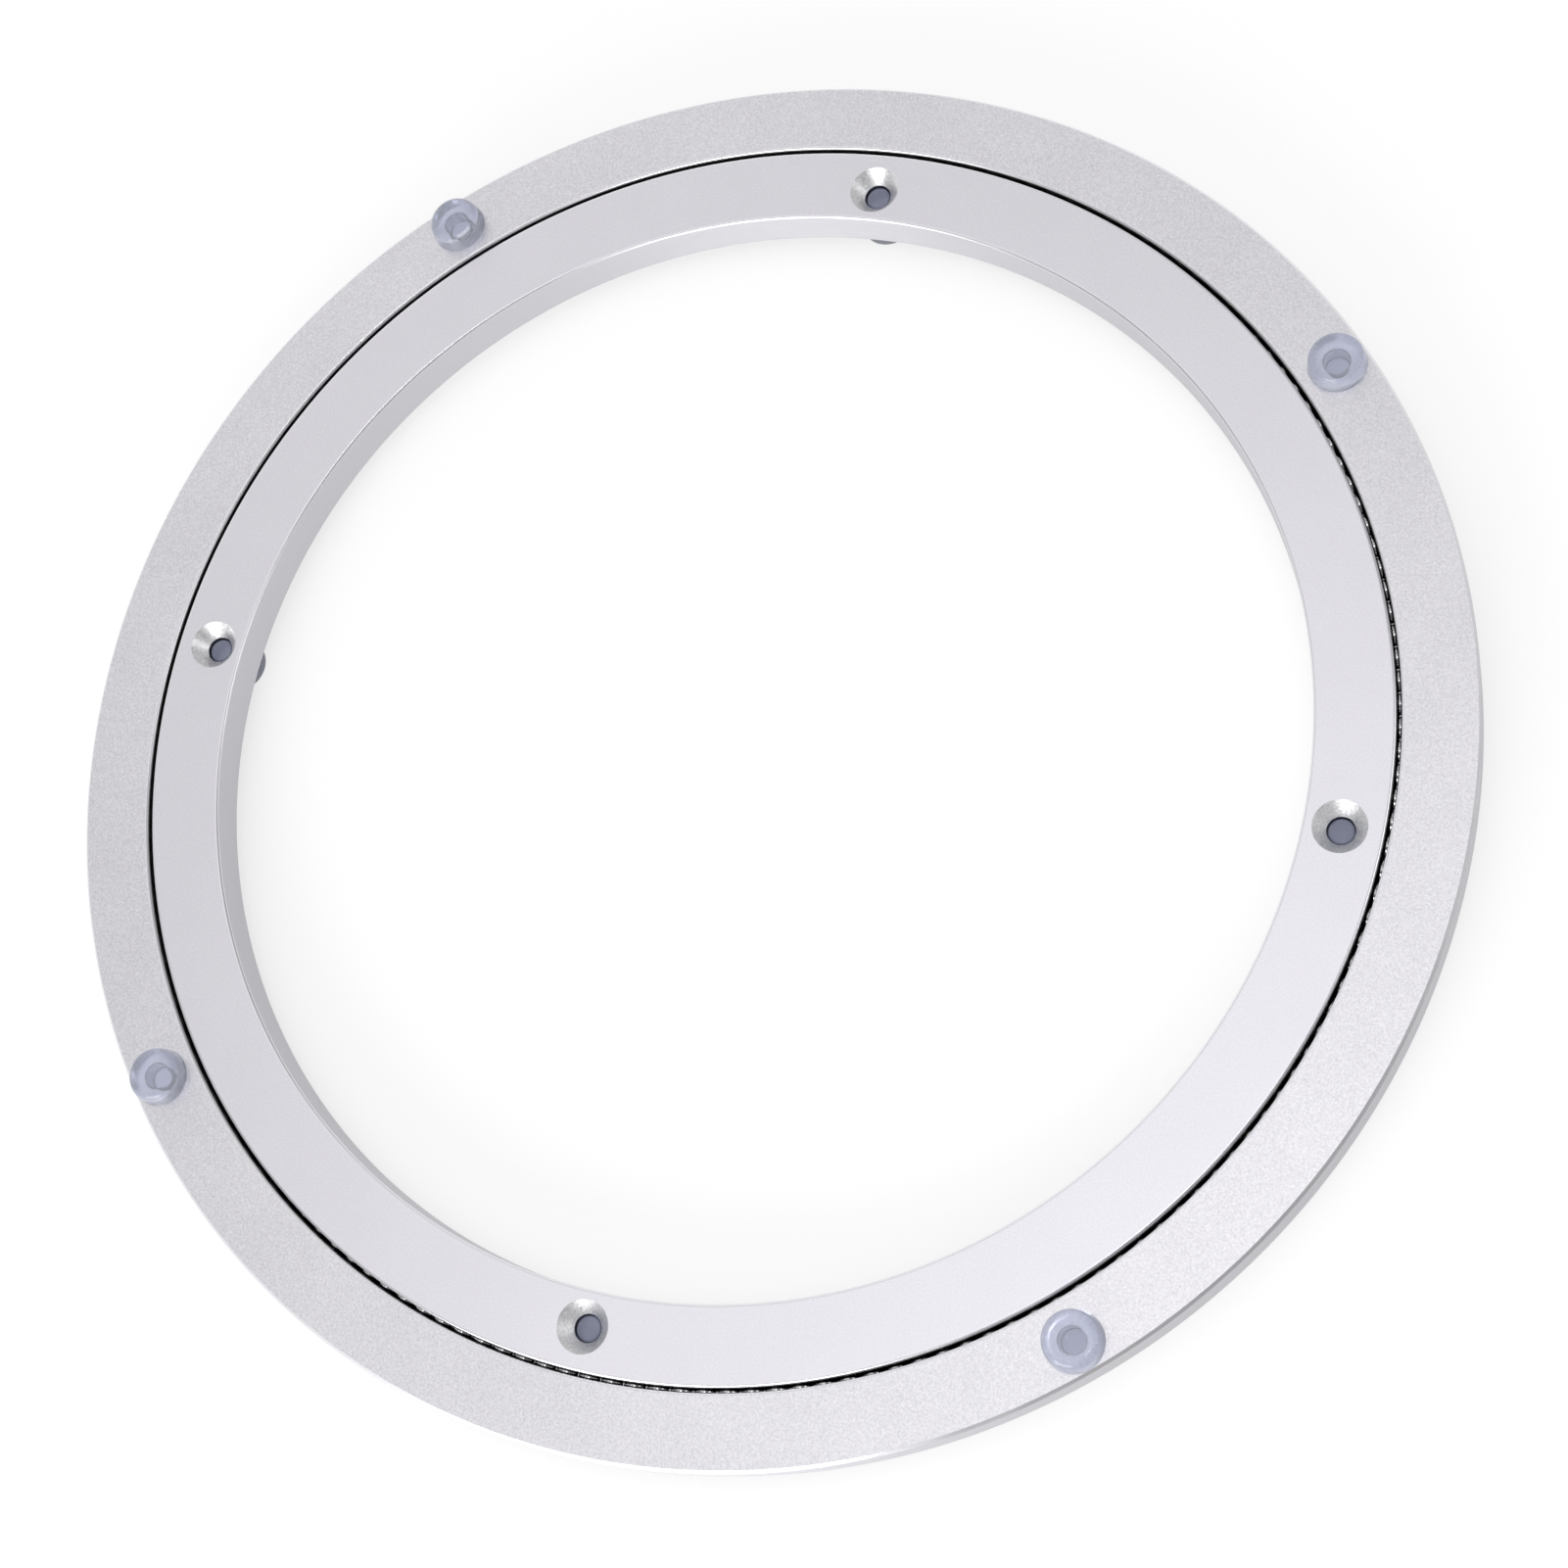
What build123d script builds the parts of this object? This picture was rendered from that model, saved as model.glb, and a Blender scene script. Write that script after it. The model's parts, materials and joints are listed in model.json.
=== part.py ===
from build123d import *
from math import asin, pi, sqrt
import os

os.makedirs("parts", exist_ok=True)

# Rings, in millimetres
bore_diameter = 196.6
inner_ring_width = 13.3
outer_ring_width = 12.65
ring_gap = 0.75
ring_thickness = 8.0
edge_chamfer = 0.5

# Balls and the races that they run in
ball_diameter = 3.969  # 5/32 inch
ball_play = 0.05  # free room beside each ball along the race
race_clearance = 0.1  # between a ball and each flank of its race
race_relief = 0.3  # between a ball and the flat bottom of its race

# Countersunk screw holes: the inner ring's open upwards, the outer ring's downwards
hole_count = 4
hole_diameter = 4.8
countersink_diameter = 9.0
countersink_depth = 2.8
inner_hole_inset = 6.1  # from the bore to the middle of a hole
outer_hole_inset = 5.6  # from the rim to the middle of a hole
outer_hole_turn = 41.9  # degrees from the inner ring's holes to the outer ring's

# Clear bumper pads, over the outer ring's holes and under the inner ring's
pad_base_diameter = 10.2
pad_top_diameter = 9.2
pad_height = 3.5
pad_shoulder = 1.5  # radius of the rounded shoulder

# Plug of the hole through which the balls are loaded
plug_play = 0.3  # how much wider the hole is than a ball
plug_recess = 0.3  # how far each end stands back from the rim or from the race
plug_turn = outer_hole_turn + 180 / hole_count  # midway between two pads

# Radii and levels that follow from these, with the floor at zero
bore_radius = bore_diameter / 2
inner_ring_radius = bore_radius + inner_ring_width
pitch_radius = inner_ring_radius + ring_gap / 2
gap_radius = inner_ring_radius + ring_gap
rim_radius = gap_radius + outer_ring_width
ring_middle = pad_height + ring_thickness / 2
ring_top = pad_height + ring_thickness
flank_distance = ball_diameter / 2 + race_clearance
race_depth = ball_diameter / 2 + race_relief
plug_radius = (ball_diameter + plug_play) / 2


def race_section():
    # Square on its corner: a ball touches two flanks in each ring
    flanks = Rectangle(2 * flank_distance, 2 * flank_distance, rotation=45)
    bottoms = Rectangle(2 * race_depth, 4 * flank_distance)
    return Pos(pitch_radius, ring_middle) * (flanks & bottoms)


def ring(inner_radius, outer_radius):
    middle = Pos((inner_radius + outer_radius) / 2, ring_middle)
    blank = middle * Rectangle(outer_radius - inner_radius, ring_thickness)
    blank = chamfer(blank.vertices(), edge_chamfer)
    return revolve(Plane.XZ * (blank - race_section()), Axis.Z)


def flipped(shape):
    # Upside down, about the rings' middle plane
    return mirror(shape, Plane.XY.offset(ring_middle))


def screw_hole():
    # Cutter whose countersink opens at the rings' top face
    shank = Pos(0, 0, ring_middle) * Cylinder(hole_diameter / 2, ring_thickness)
    sink = Pos(0, 0, ring_top - countersink_depth / 2) * Cone(
        hole_diameter / 2, countersink_diameter / 2, countersink_depth)
    return shank + sink


def inner_places():
    return PolarLocations(bore_radius + inner_hole_inset, hole_count)


def outer_places():
    return PolarLocations(rim_radius - outer_hole_inset, hole_count, start_angle=outer_hole_turn)


def plug_rod(start, end):
    # Lies along a radius of the rings
    rod = Cylinder(plug_radius, end - start, align=(Align.CENTER, Align.CENTER, Align.MIN))
    return Rot(0, 0, plug_turn) * Pos(start, 0, ring_middle) * Rot(0, 90, 0) * rod


def inner_ring():
    body = ring(bore_radius, inner_ring_radius)
    for place in inner_places():
        body -= place * screw_hole()
    return body


def outer_ring():
    body = ring(gap_radius, rim_radius)
    for place in outer_places():
        body -= place * flipped(screw_hole())
    return body - plug_rod(pitch_radius, rim_radius)


def filler_plug():
    rim_edge = sqrt(rim_radius ** 2 - plug_radius ** 2)
    return plug_rod(pitch_radius + race_depth + plug_recess, rim_edge - plug_recess)


def ball():
    # 26 flat faces and the volume of the round ball, with a face along each flank of the race
    edge_share = 1 / (1 + sqrt(2))  # of the width across flats
    flat_volume = (12 + 10 * sqrt(2)) / 3 * edge_share ** 3
    flats = ball_diameter * (pi / 6 / flat_volume) ** (1 / 3)
    return chamfer(Box(flats, flats, flats).edges(), flats * (1 - edge_share) / 2)


def bearing_balls():
    step = 2 * asin((ball_diameter + ball_play) / 2 / pitch_radius)
    places = PolarLocations(pitch_radius, int(2 * pi / step))
    first = Pos(0, 0, ring_middle) * ball()
    return Compound(children=[place * first for place in places])


def pad():
    # Stands on the rings' top face
    body = Cone(pad_base_diameter / 2, pad_top_diameter / 2, pad_height,
                align=(Align.CENTER, Align.CENTER, Align.MIN))
    body = fillet(body.edges().sort_by(Axis.Z)[-1], pad_shoulder)
    return Pos(0, 0, ring_top) * body


export_step(inner_ring(), "parts/inner_ring.step")
export_step(outer_ring(), "parts/outer_ring.step")
export_step(filler_plug(), "parts/filler_plug.step")
export_step(bearing_balls(), "parts/bearing_balls.step")
for number, place in enumerate(outer_places(), 1):
    export_step(place * pad(), f"parts/top_pad_{number}.step")
for number, place in enumerate(inner_places(), 1):
    export_step(place * flipped(pad()), f"parts/foot_pad_{number}.step")
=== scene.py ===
import bpy
import json
import math
from mathutils import Matrix, Vector


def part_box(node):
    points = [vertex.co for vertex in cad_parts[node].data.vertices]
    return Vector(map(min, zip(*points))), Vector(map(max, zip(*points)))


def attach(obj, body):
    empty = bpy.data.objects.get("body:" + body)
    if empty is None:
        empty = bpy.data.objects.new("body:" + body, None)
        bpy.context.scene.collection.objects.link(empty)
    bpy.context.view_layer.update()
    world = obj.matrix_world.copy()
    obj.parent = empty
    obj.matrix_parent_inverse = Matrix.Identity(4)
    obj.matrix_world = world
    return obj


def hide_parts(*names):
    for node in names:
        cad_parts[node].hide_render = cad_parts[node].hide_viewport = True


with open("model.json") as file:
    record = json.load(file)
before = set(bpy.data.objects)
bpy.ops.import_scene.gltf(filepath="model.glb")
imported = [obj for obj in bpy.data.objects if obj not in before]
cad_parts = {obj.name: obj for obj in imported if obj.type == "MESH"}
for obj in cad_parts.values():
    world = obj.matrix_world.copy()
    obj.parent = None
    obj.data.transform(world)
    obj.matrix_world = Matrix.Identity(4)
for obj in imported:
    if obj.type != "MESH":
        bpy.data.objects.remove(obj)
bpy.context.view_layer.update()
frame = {"nodes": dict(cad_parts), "record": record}
scene = bpy.context.scene
mm = 0.001


class Wire:
    # one output socket of a node tree; arithmetic on it adds Math nodes
    def __init__(self, socket):
        self.socket = socket

    @classmethod
    def node(cls, tree, kind, settings=None, sockets=None, output=0):
        # adds any node: its settings first, then the values or links of its inputs
        made = tree.nodes.new(kind)
        for name, value in (settings or {}).items():
            if name == "stops":
                ramp = made.color_ramp.elements
                while len(ramp) < len(value):
                    ramp.new(0.5)
                for element, (position, colour) in zip(ramp, value):
                    element.position = position
                    element.color = (*colour, 1.0)
            else:
                setattr(made, name, value)
        for name, value in (sockets or {}).items():
            for single in value if isinstance(value, list) else [value]:
                if isinstance(single, Wire):
                    tree.links.new(single.socket, made.inputs[name])
                else:
                    made.inputs[name].default_value = single
        return cls(made.outputs[output])

    def math(self, operation, first, second=0.0):
        return Wire.node(self.socket.id_data, "ShaderNodeMath", {"operation": operation},
                         {0: first, 1: second})

    def __add__(self, other):
        return self.math("ADD", self, other)

    def __radd__(self, other):
        return self.math("ADD", other, self)

    def __sub__(self, other):
        return self.math("SUBTRACT", self, other)

    def __rsub__(self, other):
        return self.math("SUBTRACT", other, self)

    def __mul__(self, other):
        return self.math("MULTIPLY", self, other)

    def __rmul__(self, other):
        return self.math("MULTIPLY", other, self)

    def __truediv__(self, other):
        return self.math("DIVIDE", self, other)


# What the CAD frame says about sizes, in metres

def reach(name):
    # least and greatest distance of a node from the turning axis
    spans = [vertex.co.xy.length for vertex in frame["nodes"][name].data.vertices]
    return min(spans), max(spans)


def padNodes(prefix):
    return sorted(name for name in frame["nodes"] if name.startswith(prefix))


def middleOf(name):
    low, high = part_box(name)
    return (low + high) / 2


ringLow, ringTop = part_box("outer_ring")[0].z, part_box("outer_ring")[1].z
ringMiddle = (ringLow + ringTop) / 2
boreRadius, innerRadius = reach("inner_ring")
gapRadius, rimRadius = reach("outer_ring")
pitchRadius = (innerRadius + gapRadius) / 2
mounts = {mount["name"]: mount["dims"] for mount in frame["record"]["mounts"]}


# Finishes

def newFinish(name, shader="ShaderNodeBsdfPrincipled"):
    # an empty material with its shader, ready for wires
    material = bpy.data.materials.new(name)
    material.use_nodes = True
    tree = material.node_tree
    tree.nodes.clear()
    surface = tree.nodes.new(shader)
    output = tree.nodes.new("ShaderNodeOutputMaterial")
    tree.links.new(surface.outputs[0], output.inputs["Surface"])
    return material, tree, surface.inputs


def setInputs(tree, inputs, values):
    for name, value in values.items():
        if isinstance(value, Wire):
            tree.links.new(value.socket, inputs[name])
        else:
            inputs[name].default_value = value


def objectPoint(tree):
    return Wire.node(tree, "ShaderNodeTexCoord", output="Object")


def noise(tree, point, scale, detail=2.0, roughness=0.5):
    return Wire.node(tree, "ShaderNodeTexNoise", None,
                     {"Vector": point, "Scale": scale, "Detail": detail, "Roughness": roughness})


def blend(tree, factor, first, second):
    return Wire.node(tree, "ShaderNodeMix", {"data_type": "RGBA"},
                     {"Factor": factor, 6: first, 7: second}, output=2)


def bump(tree, height, strength, distance):
    return Wire.node(tree, "ShaderNodeBump", None,
                     {"Height": height, "Strength": strength, "Distance": distance})


# The two rings' faces are blasted alike, the inner one finer and a little brighter
outerBlast = {
    "light": (0.97, 0.955, 0.99, 1.0),
    "dark": (0.62, 0.61, 0.655, 1.0),
    "grain": 0.40 * mm,  # size of the blasting marks
    "cloud": 18 * mm,  # size of the faint cloudy patches
    "roughness": 0.34,
    "contrast": 1.8,
    "depth": 0.03 * mm,
}
innerBlast = {
    "light": (0.94, 0.925, 0.98, 1.0),
    "dark": (0.70, 0.69, 0.735, 1.0),
    "grain": 0.32 * mm,
    "cloud": 14 * mm,
    "roughness": 0.32,
    "contrast": 1.2,
    "depth": 0.016 * mm,
}


def blastedAluminium(name, look):
    material, tree, inputs = newFinish(name)
    point = objectPoint(tree)
    grain = noise(tree, point, 1 / look["grain"], 2.0, 0.7)
    cloud = noise(tree, point, 1 / look["cloud"], 3.0, 0.5)
    tone = 0.5 + look["contrast"] * (0.85 * grain + 0.15 * cloud - 0.5)
    setInputs(tree, inputs, {
        "Base Color": blend(tree, tone, look["dark"], look["light"]),
        "Metallic": 1.0,
        "Roughness": look["roughness"] + 0.12 * (grain - 0.5),
        "Normal": bump(tree, grain, 0.6, look["depth"]),
    })
    return material


# Cut faces carry fine marks of the tool, which run level round the axis
wallCut = {
    "light": (0.78, 0.775, 0.81, 1.0),
    "dark": (0.70, 0.695, 0.73, 1.0),
    "line": 0.15 * mm,  # spacing of the tool's marks
    "streak": 5 * mm,  # how far one mark runs before it fades
    "contrast": 1.0,
    "metallic": 0.65,  # the rest is the matt skin of anodising
    "roughness": 0.40,
    "spread": 0.8,  # the marks draw reflections out, across themselves
    "graze": 0.6,  # share of the shine that is left at a flat angle
    "depth": 0.005 * mm,
}
edgeCut = {
    "light": (0.86, 0.85, 0.88, 1.0),
    "dark": (0.74, 0.73, 0.76, 1.0),
    "line": 0.12 * mm,
    "streak": 9 * mm,
    "contrast": 1.0,
    "metallic": 1.0,
    "roughness": 0.31,
    "depth": 0.003 * mm,
}
sinkCut = {
    "light": (1.0, 1.0, 1.0, 1.0),
    "dark": (0.72, 0.72, 0.74, 1.0),
    "line": 0.34 * mm,
    "streak": 0.45 * mm,
    "contrast": 2.6,
    "metallic": 1.0,
    "roughness": 0.42,
    "depth": 0.08 * mm,
}
# the drilled holes' walls are made dark: painted shade inside the holes
shadedDrillCut = {
    "light": (0.40, 0.40, 0.42, 1.0),
    "dark": (0.26, 0.26, 0.275, 1.0),
    "line": 0.25 * mm,
    "streak": 2 * mm,
    "contrast": 1.5,
    "metallic": 1.0,
    "roughness": 0.35,
    "depth": 0.02 * mm,
}


def turnedAluminium(name, look):
    material, tree, inputs = newFinish(name)
    stretch = (1 / look["streak"], 1 / look["streak"], 1 / look["line"])
    point = Wire.node(tree, "ShaderNodeMapping", None, {"Vector": objectPoint(tree), "Scale": stretch})
    lines = noise(tree, point, 1.0, 2.0, 0.55)
    tone = 0.5 + look["contrast"] * (lines - 0.5)
    setInputs(tree, inputs, {
        "Base Color": blend(tree, tone, look["dark"], look["light"]),
        "Metallic": look["metallic"],
        "Specular Tint": (look.get("graze", 1.0),) * 3 + (1.0,),
        "Anisotropic": look.get("spread", 0.0),
        "Anisotropic Rotation": 0.25,
        "Roughness": look["roughness"] + 0.15 * (lines - 0.5),
        "Normal": bump(tree, lines, 0.6, look["depth"]),
    })
    return material


# the gap walls and race are near black: painted shade that stands in for the dark of the narrow gap
raceShade = {"light": (0.035, 0.035, 0.038, 1.0), "dark": (0.008, 0.008, 0.009, 1.0), "smear": 1.5 * mm}


def shadedRace():
    material, tree, inputs = newFinish("shadedRace")
    smear = noise(tree, objectPoint(tree), 1 / raceShade["smear"], 3.0)
    setInputs(tree, inputs, {
        "Base Color": blend(tree, smear, raceShade["dark"], raceShade["light"]),
        "Metallic": 0.4,
        "Roughness": 0.35 + 0.3 * smear,
    })
    return material


# the ball steel is made darker than bare steel so the balls read dark in the gap: painted shade over the
# steel's own tone
shadedBallSteel = {"light": (0.52, 0.52, 0.54, 1.0), "dark": (0.38, 0.38, 0.395, 1.0), "smear": 1.2 * mm}


def shadedSteel():
    material, tree, inputs = newFinish("shadedSteel")
    smear = noise(tree, objectPoint(tree), 1 / shadedBallSteel["smear"], 2.0)
    setInputs(tree, inputs, {
        "Base Color": blend(tree, smear, shadedBallSteel["dark"], shadedBallSteel["light"]),
        "Metallic": 1.0,
        "Roughness": 0.06 + 0.06 * smear,
    })
    return material


# The pads above and below are one silicone; the copy for the pads that stand on the table is darker and less
# clear: painted shade
topSilicone = {
    "light": (0.90, 0.92, 1.0, 1.0),
    "dark": (0.84, 0.87, 0.99, 1.0),
    "cloud": 2.5 * mm,
    "clear": 0.80,  # the rest is milky
}
shadedFootSilicone = {
    "light": (0.60, 0.63, 0.80, 1.0),
    "dark": (0.50, 0.53, 0.70, 1.0),
    "cloud": 2.0 * mm,
    "clear": 0.65,
}


def clearSilicone(name, look):
    material, tree, inputs = newFinish(name)
    cloud = noise(tree, objectPoint(tree), 1 / look["cloud"], 2.0)
    setInputs(tree, inputs, {
        "Base Color": blend(tree, cloud, look["dark"], look["light"]),
        "Roughness": 0.04 + 0.08 * cloud,
        "IOR": 1.41,
        "Transmission Weight": look["clear"],
    })
    return material


# Shape trees

weld = 0.002 * mm  # points nearer than this become one


def newTree(name, inputs):
    # a Geometry Nodes tree with named inputs; gives the tree and a wire for each input
    tree = bpy.data.node_groups.new(name, "GeometryNodeTree")
    tree.interface.new_socket("Geometry", in_out="INPUT", socket_type="NodeSocketGeometry")
    for label, kind in inputs.items():
        tree.interface.new_socket(label, in_out="INPUT", socket_type="NodeSocket" + kind)
    tree.interface.new_socket("Geometry", in_out="OUTPUT", socket_type="NodeSocketGeometry")
    start = tree.nodes.new("NodeGroupInput")
    return tree, {socket.name: Wire(socket) for socket in start.outputs if socket.name}


def endTree(tree, shape, material):
    shape = Wire.node(tree, "GeometryNodeRealizeInstances", None, {"Geometry": shape})
    shape = Wire.node(tree, "GeometryNodeSetMaterial", None, {"Geometry": shape, "Material": material})
    end = tree.nodes.new("NodeGroupOutput")
    tree.links.new(shape.socket, end.inputs["Geometry"])


def turned(tree, profile, segments):
    # sweeps a closed or open profile, drawn as x = radius and y = height, round the Z axis
    line = Wire.node(tree, "GeometryNodeMeshToCurve", None, {"Mesh": profile})
    circle = Wire.node(tree, "GeometryNodeCurvePrimitiveCircle", None,
                       {"Resolution": segments, "Radius": weld / 2})
    swept = Wire.node(tree, "GeometryNodeCurveToMesh", None, {"Curve": circle, "Profile Curve": line})
    return Wire.node(tree, "GeometryNodeMergeByDistance", None, {"Geometry": swept, "Distance": weld})


def crisp(tree, shape, degrees):
    # smooth shading that stops at edges sharper than the angle
    angle = Wire.node(tree, "GeometryNodeInputMeshEdgeAngle")
    sharp = angle.math("GREATER_THAN", angle, math.radians(degrees))
    shape = Wire.node(tree, "GeometryNodeSetShadeSmooth", {"domain": "FACE"},
                      {"Geometry": shape, "Shade Smooth": True})
    return Wire.node(tree, "GeometryNodeSetShadeSmooth", {"domain": "EDGE"},
                     {"Geometry": shape, "Selection": sharp, "Shade Smooth": False})


def ringOfPoints(tree, count, radius, turn, level):
    # points evenly round the axis
    index = Wire.node(tree, "GeometryNodeInputIndex")
    angle = index / count * math.tau + turn
    place = Wire.node(tree, "ShaderNodeCombineXYZ", None, {
        "X": radius * angle.math("COSINE", angle), "Y": radius * angle.math("SINE", angle), "Z": level})
    return Wire.node(tree, "GeometryNodePoints", None, {"Count": count, "Position": place})


def alongRadius(tree, shape, start, level, turn):
    # lays an upright shape along a radius, then swings it round the axis
    lay = Wire.node(tree, "FunctionNodeAxisAngleToRotation", None,
                    {"Axis": (0.0, 1.0, 0.0), "Angle": math.pi / 2})
    out = Wire.node(tree, "ShaderNodeCombineXYZ", None, {"X": start, "Z": level})
    shape = Wire.node(tree, "GeometryNodeTransform", None,
                      {"Geometry": shape, "Translation": out, "Rotation": lay})
    swing = Wire.node(tree, "FunctionNodeAxisAngleToRotation", None,
                      {"Axis": (0.0, 0.0, 1.0), "Angle": turn})
    return Wire.node(tree, "GeometryNodeTransform", None, {"Geometry": shape, "Rotation": swing})


def profileMesh(name, points, closed):
    mesh = bpy.data.meshes.new(name)
    count = len(points)
    edges = [(k, (k + 1) % count) for k in range(count if closed else count - 1)]
    mesh.from_pydata([(x, -y, 0.0) for x, y in points], edges, [])  # the sweep turns -y up
    return mesh


def growPiece(name, tree, values, start=None):
    # runs the tree on a helper and keeps its result as a plain mesh at the origin
    helper = bpy.data.objects.new(name + "Helper", start or bpy.data.meshes.new(name + "Start"))
    scene.collection.objects.link(helper)
    modifier = helper.modifiers.new("shape", "NODES")
    modifier.node_group = tree
    for item in tree.interface.items_tree:
        if item.in_out == "INPUT" and item.name in values:
            modifier[item.identifier] = values[item.name]
    mesh = bpy.data.meshes.new_from_object(helper.evaluated_get(bpy.context.evaluated_depsgraph_get()))
    helper.modifiers.remove(modifier)
    bpy.data.objects.remove(helper)
    finishes = [finish for finish in mesh.materials if finish]
    mesh.materials.clear()  # the tree leaves an empty slot before its own
    for finish in finishes:
        mesh.materials.append(finish)
    piece = bpy.data.objects.new(name, mesh)
    scene.collection.objects.link(piece)
    print(name, len(mesh.polygons), "faces")
    return piece


# Rings

ringCut = {
    "segments": 360,
    "holeSegments": 64,
    "rodSegments": 60,
    "rounding": 0.5 * mm,  # of the edges, and the rim's chamfer
    "arcSteps": 5,
    "strip": 0.1 * mm,  # narrow faces beside each rounding, which keep the wide faces flat
    "flank": 2.0845 * mm,  # from a ball's middle to each flank of its race
    "raceDepth": 2.2845 * mm,  # from a ball's middle to the flat bottom of its race
    "sinkRadius": 4.5 * mm,
    "sinkDepth": 2.8 * mm,
    "overshoot": 0.5 * mm,  # how far each cutter reaches past the metal
}


def brokenEdge(corner, across, steps):
    # points from the wall below a top edge, round the edge and on to the top face; one step makes a chamfer
    radius, strip = ringCut["rounding"], ringCut["strip"]
    middle = (corner + across * radius, ringTop - radius)
    turns = [math.pi / 2 * k / steps for k in range(steps + 1)]
    arc = [(middle[0] - across * radius * math.cos(turn), middle[1] + radius * math.sin(turn))
           for turn in turns]
    return [(corner, middle[1] - strip), *arc, (middle[0] + across * strip, ringTop)]


def ringSection(plain, gapSide, plainSteps):
    # plain is the radius of the bore or rim, gapSide that of the wall with the race
    way = math.copysign(1, gapSide - plain)
    corner = math.sqrt(2) * ringCut["flank"]
    half = corner - abs(pitchRadius - gapSide)
    bottom = corner - ringCut["raceDepth"]
    floor = pitchRadius - way * ringCut["raceDepth"]
    upper = [*brokenEdge(plain, way, plainSteps), *reversed(brokenEdge(gapSide, -way, ringCut["arcSteps"])),
             (gapSide, ringMiddle + half), (floor, ringMiddle + bottom)]
    return upper + [(r, 2 * ringMiddle - z) for r, z in reversed(upper)]


def ringTree(material):
    tree, wires = newTree("drilledRing", {
        "Segments": "Int", "Hole Count": "Int", "Hole Circle": "Float", "Hole Turn": "Float",
        "Hole Radius": "Float", "Sink Radius": "Float", "Sink Depth": "Float", "Sink Face": "Float",
        "Sink Turn": "Float", "Plug Radius": "Float", "Plug Start": "Float", "Plug Turn": "Float"})
    ring = turned(tree, wires["Geometry"], wires["Segments"])
    over = ringCut["overshoot"]
    depth = wires["Sink Depth"]
    spread = (wires["Sink Radius"] - wires["Hole Radius"]) / depth * over
    shank = Wire.node(tree, "GeometryNodeMeshCylinder", None,
                      {"Vertices": ringCut["holeSegments"], "Radius": wires["Hole Radius"],
                       "Depth": 4 * (ringTop - ringLow)})
    sink = Wire.node(tree, "GeometryNodeMeshCone", None, {
        "Vertices": ringCut["holeSegments"], "Radius Bottom": wires["Hole Radius"],
        "Radius Top": wires["Sink Radius"] + spread, "Depth": depth + over})
    down = Wire.node(tree, "ShaderNodeCombineXYZ", None, {"Z": 0.0 - depth})
    sink = Wire.node(tree, "GeometryNodeTransform", None, {"Geometry": sink, "Translation": down})
    points = ringOfPoints(tree, wires["Hole Count"], wires["Hole Circle"], wires["Hole Turn"],
                          wires["Sink Face"])
    flip = Wire.node(tree, "FunctionNodeAxisAngleToRotation", None,
                     {"Axis": (1.0, 0.0, 0.0), "Angle": wires["Sink Turn"]})
    cutters = [Wire.node(tree, "GeometryNodeInstanceOnPoints", None,
                         {"Points": points, "Instance": shape, "Rotation": flip}) for shape in (shank, sink)]
    cutters = [Wire.node(tree, "GeometryNodeRealizeInstances", None, {"Geometry": shape})
               for shape in cutters]
    # the filling hole runs along a radius, from the race out through the rim
    length = rimRadius
    rod = Wire.node(tree, "GeometryNodeMeshCylinder", None,
                    {"Vertices": ringCut["rodSegments"], "Radius": wires["Plug Radius"], "Depth": length})
    rod = alongRadius(tree, rod, wires["Plug Start"] + length / 2, ringMiddle, wires["Plug Turn"])
    plugged = wires["Plug Radius"].math("GREATER_THAN", wires["Plug Radius"], 0.0)
    rod = Wire.node(tree, "GeometryNodeSwitch", {"input_type": "GEOMETRY"}, {"Switch": plugged, "True": rod})
    ring = Wire.node(tree, "GeometryNodeMeshBoolean", {"operation": "DIFFERENCE", "solver": "EXACT"},
                     {"Mesh 1": ring, "Mesh 2": [*cutters, rod]})
    ring = Wire.node(tree, "GeometryNodeMergeByDistance", None, {"Geometry": ring, "Distance": weld})
    endTree(tree, crisp(tree, ring, 25), material)
    return tree


def paintRing(mesh, holes):
    # finishes by slot: 0 blasted faces, 1 gap walls in painted shade, 2 countersinks, 3 bore or rim wall, 4
    # edges, 5 drillings darkened with painted shade
    wall = (ringTop - ringLow) / 2 - ringCut["rounding"]
    for face in mesh.polygons:
        place, slope = face.center, abs(face.normal.z)
        inGap = abs(place.xy.length - pitchRadius) < 1.01 * ringCut["raceDepth"]
        inHole = min((place.xy - hole).length for hole in holes) < ringCut["sinkRadius"]
        if inGap and abs(place.z - ringMiddle) < wall:
            face.material_index = 1
        elif inHole and slope < 0.1:
            face.material_index = 5
        elif inHole and slope < 0.99:
            face.material_index = 2
        elif slope < 0.3:
            face.material_index = 3
        elif slope < 0.95:
            face.material_index = 4


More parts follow.
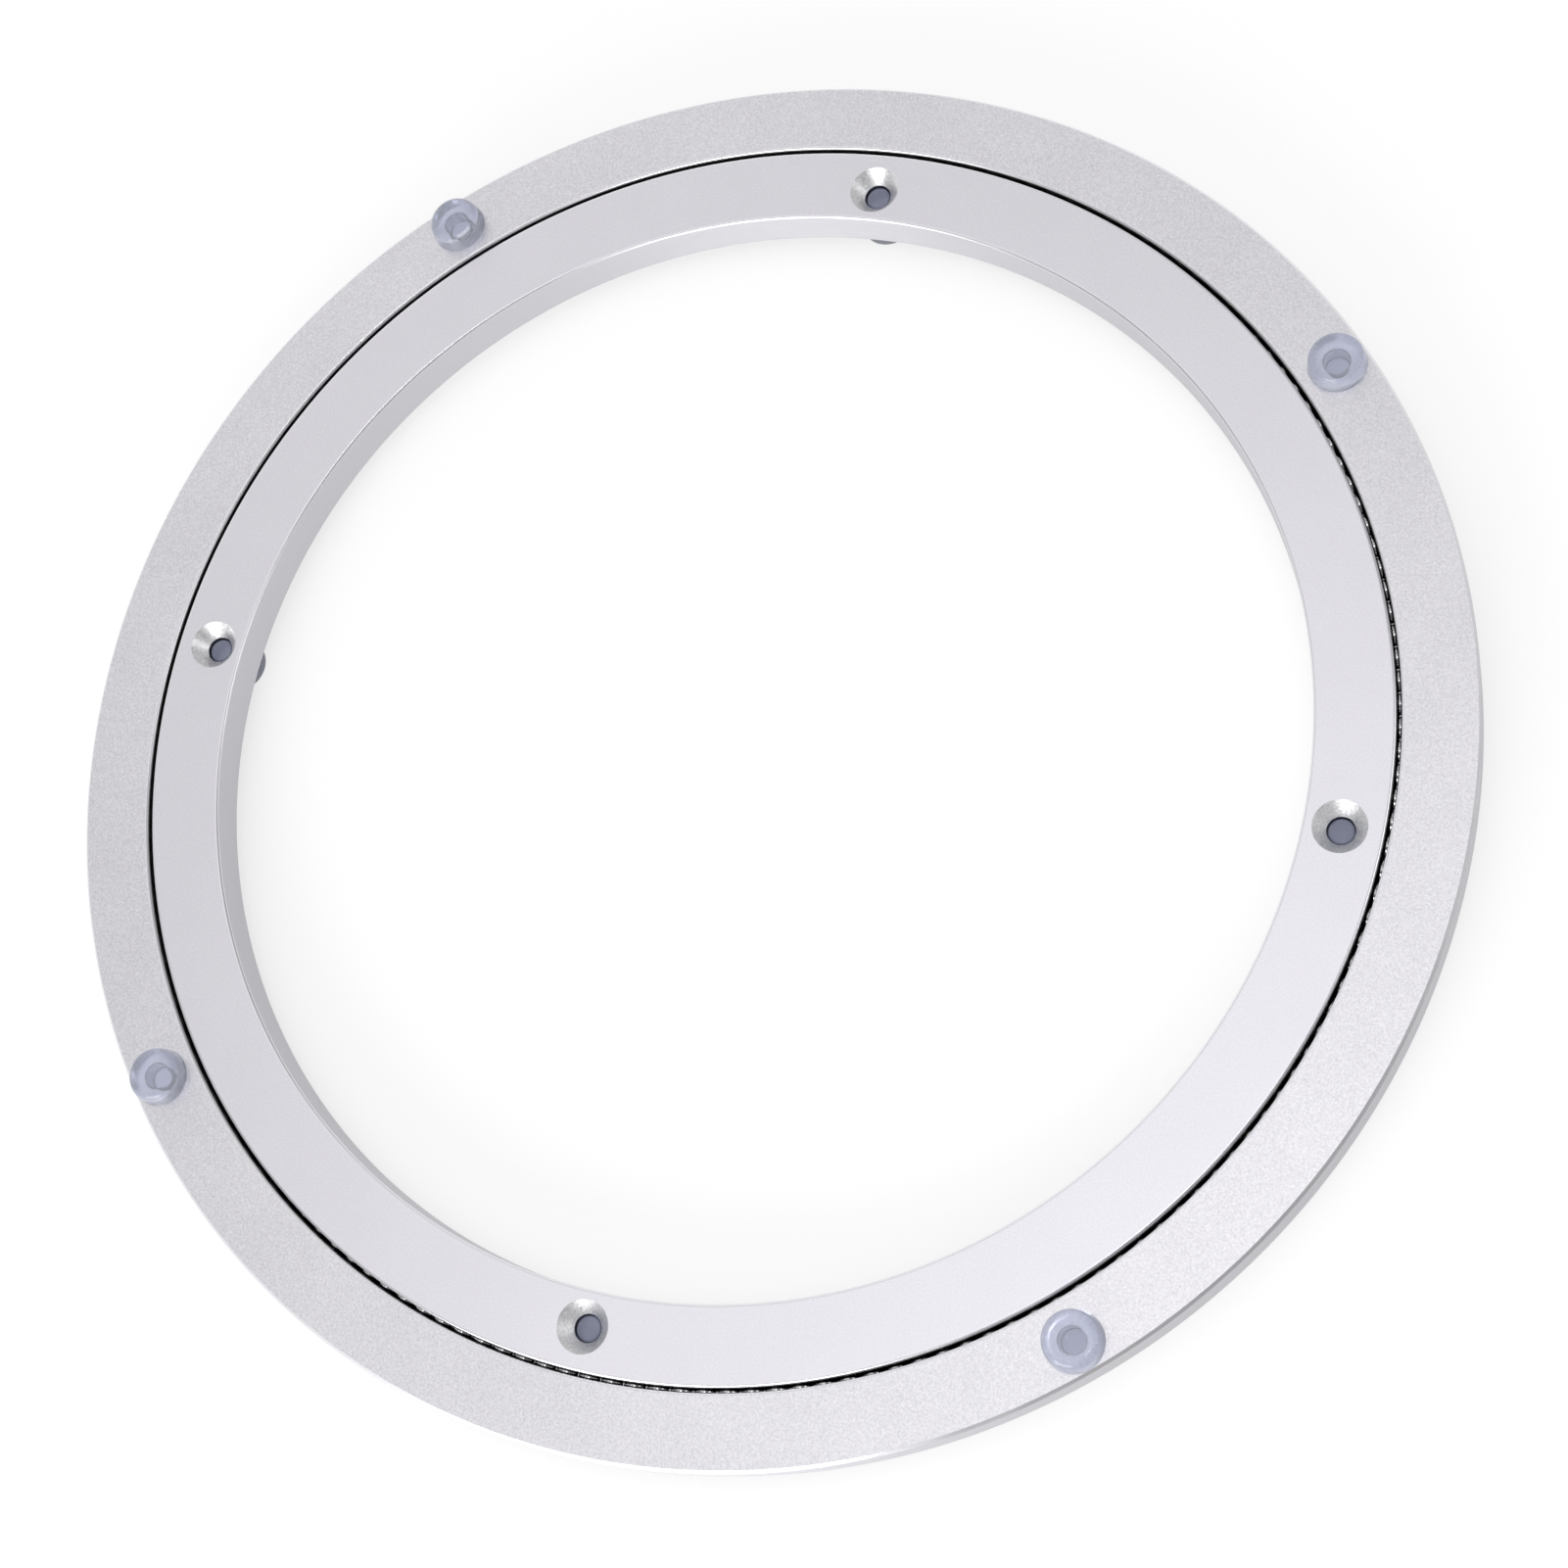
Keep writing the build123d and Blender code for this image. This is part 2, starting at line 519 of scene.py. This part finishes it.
def makeRings(innerFace, outerFace, finishes):
    foot, top = middleOf("foot_pad_1"), middleOf("top_pad_1")
    plug = middleOf("filler_plug")
    plugLow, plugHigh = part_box("filler_plug")
    shared = {"Segments": ringCut["segments"], "Sink Radius": ringCut["sinkRadius"],
              "Sink Depth": ringCut["sinkDepth"]}
    inner = growPiece("innerRing", ringTree(innerFace), {
        **shared, "Hole Count": len(padNodes("foot_pad_")), "Hole Circle": foot.xy.length,
        "Hole Turn": math.atan2(foot.y, foot.x), "Hole Radius": mounts["base_screws"]["hole_r_mm"] * mm,
        "Sink Face": ringTop, "Sink Turn": 0.0, "Plug Radius": 0.0,
    }, profileMesh("innerSection", ringSection(boreRadius, innerRadius, ringCut["arcSteps"]), True))
    outer = growPiece("outerRing", ringTree(outerFace), {
        **shared, "Hole Count": len(padNodes("top_pad_")), "Hole Circle": top.xy.length,
        "Hole Turn": math.atan2(top.y, top.x), "Hole Radius": mounts["tray_screws"]["hole_r_mm"] * mm,
        "Sink Face": ringLow, "Sink Turn": math.pi,
        "Plug Radius": (plugHigh.z - plugLow.z) / 2, "Plug Start": pitchRadius,
        "Plug Turn": math.atan2(plug.y, plug.x),
    }, profileMesh("outerSection", ringSection(rimRadius, gapRadius, 1), True))
    for ring, node, body, pads in ((inner, "inner_ring", "base", "foot_pad_"),
                                   (outer, "outer_ring", "turntable", "top_pad_")):
        for finish in finishes:
            ring.data.materials.append(finish)
        paintRing(ring.data, [middleOf(name).xy for name in padNodes(pads)])
        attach(ring, body)
        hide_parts(node)


# Plug of the filling hole

plugTurning = {
    "play": 0.02 * mm,  # room between plug and hole
    "chamfer": 0.35 * mm,
    "dimpleRadius": 0.8 * mm,  # mark of the lathe's centre in the outer end
    "dimpleDepth": 0.45 * mm,
    "segments": 48,
}


def makePlug(turnedEnd):
    node = frame["nodes"]["filler_plug"]
    low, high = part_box("filler_plug")
    turn = math.atan2(middleOf("filler_plug").y, middleOf("filler_plug").x)
    outward = Vector((math.cos(turn), math.sin(turn)))
    along = [vertex.co.xy.dot(outward) for vertex in node.data.vertices]
    length = max(along) - min(along)
    radius, edge = (high.z - low.z) / 2 - plugTurning["play"], plugTurning["chamfer"]
    profile = [(0.0, length - plugTurning["dimpleDepth"]), (plugTurning["dimpleRadius"], length),
               (radius - edge, length), (radius, length - edge), (radius, edge), (radius - edge, 0.0),
               (0.0, 0.0)]
    tree, wires = newTree("turnedPlug", {"Segments": "Int", "Start": "Float", "Level": "Float",
                                         "Turn": "Float"})
    plug = turned(tree, wires["Geometry"], wires["Segments"])
    plug = alongRadius(tree, plug, wires["Start"], wires["Level"], wires["Turn"])
    endTree(tree, crisp(tree, plug, 25), turnedEnd)
    plug = growPiece("fillerPlug", tree, {
        "Segments": plugTurning["segments"], "Start": min(along), "Level": ringMiddle, "Turn": turn,
    }, profileMesh("plugSection", profile, False))
    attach(plug, "turntable")
    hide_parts("filler_plug")


# Balls

ballRun = {"radius": 3.969 * mm / 2, "count": 175, "roundness": 2}


def makeBalls(steel):
    tree, wires = newTree("ballRow", {"Count": "Int", "Pitch Radius": "Float", "Level": "Float",
                                      "Ball Radius": "Float", "Roundness": "Int"})
    points = ringOfPoints(tree, wires["Count"], wires["Pitch Radius"], 0.0, wires["Level"])
    ball = Wire.node(tree, "GeometryNodeMeshIcoSphere", None,
                     {"Radius": wires["Ball Radius"], "Subdivisions": wires["Roundness"]})
    row = Wire.node(tree, "GeometryNodeInstanceOnPoints", None, {"Points": points, "Instance": ball})
    row = Wire.node(tree, "GeometryNodeRealizeInstances", None, {"Geometry": row})
    row = Wire.node(tree, "GeometryNodeSetShadeSmooth", None, {"Geometry": row, "Shade Smooth": True})
    endTree(tree, row, steel)
    balls = growPiece("bearingBalls", tree, {
        "Count": ballRun["count"], "Pitch Radius": pitchRadius, "Level": ringMiddle,
        "Ball Radius": ballRun["radius"], "Roundness": ballRun["roundness"]})
    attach(balls, "ball_set")
    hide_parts("bearing_balls")


# Pads

padForm = {
    "topRadius": 4.6 * mm,  # where the sloping side would meet the top
    "shoulder": 1.5 * mm,
    "stemRadius": 2.2 * mm,
    "stemLength": 4.8 * mm,  # the stem sits in the screw hole
    "stemRounding": 0.4 * mm,
    "arcSteps": 10,
    "segments": 64,
    "seat": 0.03 * mm,  # the thin layer of air under the pad
}


def padProfile(baseRadius, height):
    # from the middle of the top, round the shoulder, down the side, under the pad and round the stem's end
    bend, seat = padForm["shoulder"], padForm["seat"]
    lean = math.atan2(baseRadius - padForm["topRadius"], height)
    centreX = baseRadius - (height - bend) * math.tan(lean) - bend / math.cos(lean)
    steps = padForm["arcSteps"]
    turns = [math.pi / 2 - (math.pi / 2 - lean) * k / steps for k in range(steps + 1)]
    shoulder = [(centreX + bend * math.cos(turn), height - bend + bend * math.sin(turn)) for turn in turns]
    stem, tip, end = padForm["stemRadius"], padForm["stemRounding"], -padForm["stemLength"]
    turns = [math.pi / 2 * k / 4 for k in range(5)]
    rounding = [(stem - tip + tip * math.cos(turn), end + tip - tip * math.sin(turn)) for turn in turns]
    return [(0.0, height), *shoulder, (baseRadius, seat), (stem, seat), *rounding, (0.0, end)]


def padTree(material):
    tree, wires = newTree("padSet", {"Segments": "Int", "Count": "Int", "Circle": "Float", "Turn": "Float",
                                     "Level": "Float", "Flip": "Float"})
    pad = turned(tree, wires["Geometry"], wires["Segments"])
    points = ringOfPoints(tree, wires["Count"], wires["Circle"], wires["Turn"], wires["Level"])
    flip = Wire.node(tree, "FunctionNodeAxisAngleToRotation", None,
                     {"Axis": (1.0, 0.0, 0.0), "Angle": wires["Flip"]})
    pads = Wire.node(tree, "GeometryNodeInstanceOnPoints", None,
                     {"Points": points, "Instance": pad, "Rotation": flip})
    pads = Wire.node(tree, "GeometryNodeRealizeInstances", None, {"Geometry": pads})
    endTree(tree, crisp(tree, pads, 40), material)
    return tree


def makePads(above, below):
    for name, prefix, body, face, flip, finish in (
            ("topPads", "top_pad_", "turntable", ringTop, 0.0, above),
            ("footPads", "foot_pad_", "base", ringLow, math.pi, below)):
        nodes = padNodes(prefix)
        low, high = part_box(nodes[0])
        middle = (low + high) / 2
        pads = growPiece(name, padTree(finish), {
            "Segments": padForm["segments"], "Count": len(nodes), "Circle": middle.xy.length,
            "Turn": math.atan2(middle.y, middle.x), "Level": face, "Flip": flip,
        }, profileMesh(name + "Section", padProfile((high.x - low.x) / 2, high.z - low.z), False))
        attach(pads, body)
        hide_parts(*nodes)


turnedWall = turnedAluminium("turnedWall", wallCut)
turnedEdge = turnedAluminium("turnedEdge", edgeCut)
turnedSink = turnedAluminium("turnedSink", sinkCut)
shadedDrilledHole = turnedAluminium("shadedDrilledHole", shadedDrillCut)
makeRings(blastedAluminium("blastedInner", innerBlast), blastedAluminium("blastedOuter", outerBlast),
          [shadedRace(), turnedSink, turnedWall, turnedEdge, shadedDrilledHole])
makePlug(turnedWall)
makeBalls(shadedSteel())
makePads(clearSilicone("topSilicone", topSilicone), clearSilicone("shadedFootSilicone", shadedFootSilicone))


# Floor, light and camera

view = {
    "azimuth": 324.467,
    "elevation": 66.706,
    "roll": -42.638,
    "distance": 463.488 * mm,  # from the middle of the rings' top face
    "right": 8.327 * mm,
    "up": -9.55 * mm,
    "lens": 61.53,
    "sensor": 36.0,
    "clip": (0.01, 50.0),  # in metres
}


def aimCamera():
    turn, rise, roll = (math.radians(view[name]) for name in ("azimuth", "elevation", "roll"))
    back = Vector((math.sin(turn) * math.cos(rise), -math.cos(turn) * math.cos(rise), math.sin(rise)))
    level = Vector((math.cos(turn), math.sin(turn), 0.0))
    tall = back.cross(level)
    right = math.cos(roll) * level + math.sin(roll) * tall
    up = back.cross(right)
    place = Vector((0.0, 0.0, ringTop)) + view["distance"] * back + view["right"] * right + view["up"] * up
    data = bpy.data.cameras.new("photoCamera")
    data.lens, data.sensor_width = view["lens"], view["sensor"]
    data.clip_start, data.clip_end = view["clip"]
    camera = bpy.data.objects.new("photoCamera", data)
    camera.matrix_world = Matrix.Translation(place) @ Matrix((right, up, back)).transposed().to_4x4()
    scene.collection.objects.link(camera)
    scene.camera = camera
    print("camera at", [round(value, 4) for value in place])


floorLook = {
    "grey": 0.32,  # its colour
    "glow": 0.74,  # what it adds by itself, so that it shows white
    "underRingsShade": (0.23, 0.245, 0.34),  # a darker bluish glow under the rings, seen through a pad: painted shade
    "underPadsShade": (0.13, 0.135, 0.165),  # a darker glow under the foot pads: painted shade
    "reach": (2.5 * mm, 6.5 * mm),  # how far out from the bore and from the rim the painted shade under the rings starts and ends
    "padShadeReach": 5.0 * mm,  # how far the painted shade reaches round the middle of each foot pad
    "half": 12.0,  # half its width, in metres
}


def makeFloor():
    material, tree, inputs = newFinish("paleFloor")
    # the glow whitens the floor for the camera, metal and glass; it lights nothing
    camera, glossy, through, bounces = (Wire.node(tree, "ShaderNodeLightPath", output=name) for name in (
        "Is Camera Ray", "Is Glossy Ray", "Is Transmission Ray", "Diffuse Depth"))
    direct = bounces.math("LESS_THAN", bounces, 0.5)
    seen = camera.math("MAXIMUM", camera, camera.math("MAXIMUM", glossy, through))
    point = objectPoint(tree)
    away = Wire.node(tree, "ShaderNodeVectorMath", {"operation": "LENGTH"}, {0: point}, output="Value")
    # seen through a pad, the floor under the rings gets a darker bluish glow: painted shade
    under = (away.math("GREATER_THAN", away, boreRadius + floorLook["reach"][0])
             * away.math("LESS_THAN", away, rimRadius + floorLook["reach"][1]) * through)
    glow = blend(tree, under, (floorLook["glow"],) * 3 + (1.0,), floorLook["underRingsShade"] + (1.0,))
    # round each foot pad the glow is darker: painted shade under the pads
    for name in padNodes("foot_pad_"):
        middle = (*middleOf(name).xy, 0.0)
        away = Wire.node(tree, "ShaderNodeVectorMath", {"operation": "DISTANCE"}, {0: point, 1: middle},
                         output="Value")
        covered = away.math("LESS_THAN", away, floorLook["padShadeReach"])
        glow = blend(tree, covered, glow, floorLook["underPadsShade"] + (1.0,))
    shade = blend(tree, direct * seen, (0.0, 0.0, 0.0, 1.0), glow)
    setInputs(tree, inputs, {"Base Color": (floorLook["grey"],) * 3 + (1.0,), "Roughness": 0.9,
                             "Specular IOR Level": 0.0, "Emission Color": shade, "Emission Strength": 1.0})
    material.cycles.emission_sampling = "NONE"
    # from below the floor is clear, so that the underside can be looked at
    below = Wire.node(tree, "ShaderNodeNewGeometry", output="Backfacing")
    clear = Wire.node(tree, "ShaderNodeBsdfTransparent")
    shown = Wire(inputs[0].node.outputs[0])
    oneSided = Wire.node(tree, "ShaderNodeMixShader", None, {0: below, 1: shown, 2: clear})
    tree.links.new(oneSided.socket, tree.nodes["Material Output"].inputs["Surface"])
    mesh = bpy.data.meshes.new("floor")
    half = floorLook["half"]
    corners = [(-half, -half, 0), (half, -half, 0), (half, half, 0), (-half, half, 0)]
    mesh.from_pydata(corners, [], [(0, 1, 2, 3)])
    mesh.materials.append(material)
    floor = bpy.data.objects.new("floor", mesh)
    scene.collection.objects.link(floor)
    print("floor", 2 * half, "m wide")


# Brightness where white is 1: a wide softbox overhead, by the cosine of the angle from its middle,
# in a room that goes from dark behind the camera to a white backdrop behind the object
room = {
    "softboxWay": (78.0, 84.0),  # turn and height of its middle, in degrees
    "softbox": [(0.0, 0.60), (0.85, 0.50), (0.90, 0.67), (0.94, 1.06), (0.97, 1.13), (1.0, 1.00)],
    "softboxEdge": (0.80, 0.90),
    "wallsWay": (44.0, 0.0),  # towards the backdrop
    "walls": [(0.0, 0.30), (0.35, 0.30), (0.5, 0.36), (0.70, 0.40), (0.74, 0.46), (0.79, 0.74), (0.85, 0.90),
              (1.0, 1.12)],
}


def wayTo(turn, rise):
    # unit vector from the object, by degrees round the axis and above the floor
    turn, rise = math.radians(turn), math.radians(rise)
    return Vector((math.cos(turn) * math.cos(rise), math.sin(turn) * math.cos(rise), math.sin(rise)))


def makeSky():
    world = bpy.data.worlds.new("studio")
    scene.world = world
    world.use_nodes = True
    tree = world.node_tree
    tree.nodes.clear()
    way = Wire.node(tree, "ShaderNodeTexCoord", output="Generated")
    near, back = (Wire.node(tree, "ShaderNodeVectorMath", {"operation": "DOT_PRODUCT"},
                            {0: way, 1: wayTo(*room[name])}, output="Value")
                  for name in ("softboxWay", "wallsWay"))
    softbox, walls = (Wire.node(tree, "ShaderNodeValToRGB", {
        "stops": [(place, (level,) * 3) for place, level in room[name]]}, {"Fac": factor})
        for name, factor in (("softbox", near), ("walls", 0.5 + 0.5 * back)))
    low, high = room["softboxEdge"]
    inside = Wire.node(tree, "ShaderNodeMapRange", None, {"Value": near, "From Min": low, "From Max": high})
    sky = blend(tree, inside, walls, softbox)
    light = Wire.node(tree, "ShaderNodeBackground", None, {"Color": sky, "Strength": 1.0})
    output = tree.nodes.new("ShaderNodeOutputWorld")
    tree.links.new(light.socket, output.inputs["Surface"])
    print("sky", len(tree.nodes), "nodes")


lampDistance = 1.1
lamps = {
    # name: turn and height in degrees, width and depth in metres, brightness where white is 1
    "mainBox": (170.7, 21.0, 0.76, 0.58, 6.5),
    "sideBox": (285.7, 28.0, 0.50, 0.39, 2.5),
    "overLamp": (234.5, 78.0, 0.12, 0.12, 9.0),
}


def makeLamps():
    for name, (turn, rise, width, depth, level) in lamps.items():
        way = wayTo(turn, rise)
        data = bpy.data.lights.new(name, "AREA")
        data.shape, data.size, data.size_y = "RECTANGLE", width, depth
        data.energy = level * math.pi * width * depth
        lamp = bpy.data.objects.new(name, data)
        lamp.location = way * lampDistance
        lamp.rotation_euler = way.to_track_quat("Z", "Y").to_euler()
        scene.collection.objects.link(lamp)
    print("lamps", *lamps)


scene.view_settings.view_transform = "Standard"
aimCamera()
makeFloor()
makeSky()
makeLamps()
